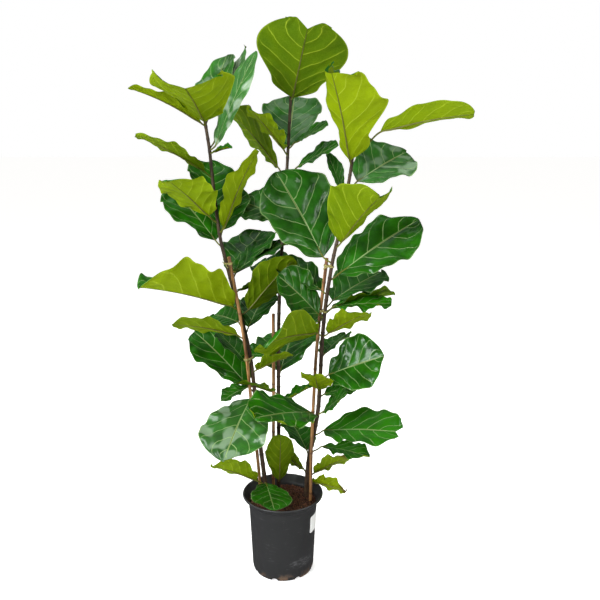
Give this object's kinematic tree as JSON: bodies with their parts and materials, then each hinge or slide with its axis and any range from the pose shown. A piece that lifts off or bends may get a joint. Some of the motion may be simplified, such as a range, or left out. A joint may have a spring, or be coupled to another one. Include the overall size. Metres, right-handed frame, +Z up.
{
  "type": "potted fiddle leaf fig",
  "caption": "Tall fiddle leaf fig in a round black nursery pot: upright leafy stems tied to bamboo canes, with broad violin-shaped glossy leaves and dark potting soil.",
  "frame": {"origin": "centre of the pot's flat underside, on the pot's own axis", "axes": "+Z up, -Y towards the front of the plant, +X towards the plant's right-hand side as seen from the front"},
  "size_m": [0.9536, 0.6168, 1.7794],
  "materials": {
    "black_pot_plastic": "satin moulded plastic with scuffs",
    "dark_potting_soil": "damp peat and bark crumbs",
    "brown_stem_bark": "thin brown bark with leaf scars",
    "tan_bamboo": "smooth tan bamboo with joints",
    "olive_tie_tape": "soft matt tape",
    "blank_white_label": "satin sticker, blank",
    "glossy_green_leaf": "waxy gloss above, paler and matt below"
  },
  "bodies": {
    "root": {"pot": "black_pot_plastic", "soil": "dark_potting_soil", "label": "blank_white_label", "left_cane": "tan_bamboo", "left_leaf_01": "glossy_green_leaf", "left_leaf_02": "glossy_green_leaf", "left_leaf_03": "glossy_green_leaf", "left_leaf_04": "glossy_green_leaf", "left_leaf_05": "glossy_green_leaf", "left_leaf_06": "glossy_green_leaf", "left_leaf_07": "glossy_green_leaf", "left_leaf_08": "glossy_green_leaf", "left_leaf_09": "glossy_green_leaf", "left_leaf_10": "glossy_green_leaf", "left_leaf_11": "glossy_green_leaf", "left_leaf_12": "glossy_green_leaf", "left_leaf_13": "glossy_green_leaf", "left_leaf_14": "glossy_green_leaf", "left_leaf_15": "glossy_green_leaf", "left_leaf_16": "glossy_green_leaf", "left_leaf_17": "glossy_green_leaf", "left_leaf_18": "glossy_green_leaf", "left_leaf_19": "glossy_green_leaf", "left_stem": "brown_stem_bark", "left_tie": "olive_tie_tape", "middle_cane": "tan_bamboo", "middle_leaf_01": "glossy_green_leaf", "middle_leaf_02": "glossy_green_leaf", "middle_leaf_03": "glossy_green_leaf", "middle_leaf_04": "glossy_green_leaf", "middle_leaf_05": "glossy_green_leaf", "middle_leaf_06": "glossy_green_leaf", "middle_leaf_07": "glossy_green_leaf", "middle_leaf_08": "glossy_green_leaf", "middle_leaf_09": "glossy_green_leaf", "middle_stem": "brown_stem_bark", "right_cane": "tan_bamboo", "right_leaf_01": "glossy_green_leaf", "right_leaf_02": "glossy_green_leaf", "right_leaf_03": "glossy_green_leaf", "right_leaf_04": "glossy_green_leaf", "right_leaf_05": "glossy_green_leaf", "right_leaf_06": "glossy_green_leaf", "right_leaf_07": "glossy_green_leaf", "right_leaf_08": "glossy_green_leaf", "right_leaf_09": "glossy_green_leaf", "right_leaf_10": "glossy_green_leaf", "right_leaf_11": "glossy_green_leaf", "right_leaf_12": "glossy_green_leaf", "right_leaf_13": "glossy_green_leaf", "right_leaf_14": "glossy_green_leaf", "right_leaf_15": "glossy_green_leaf", "right_leaf_16": "glossy_green_leaf", "right_leaf_17": "glossy_green_leaf", "right_leaf_18": "glossy_green_leaf", "right_leaf_19": "glossy_green_leaf", "right_leaf_20": "glossy_green_leaf", "right_leaf_21": "glossy_green_leaf", "right_stem": "brown_stem_bark", "right_tie": "olive_tie_tape"}
  },
  "joints": []
}
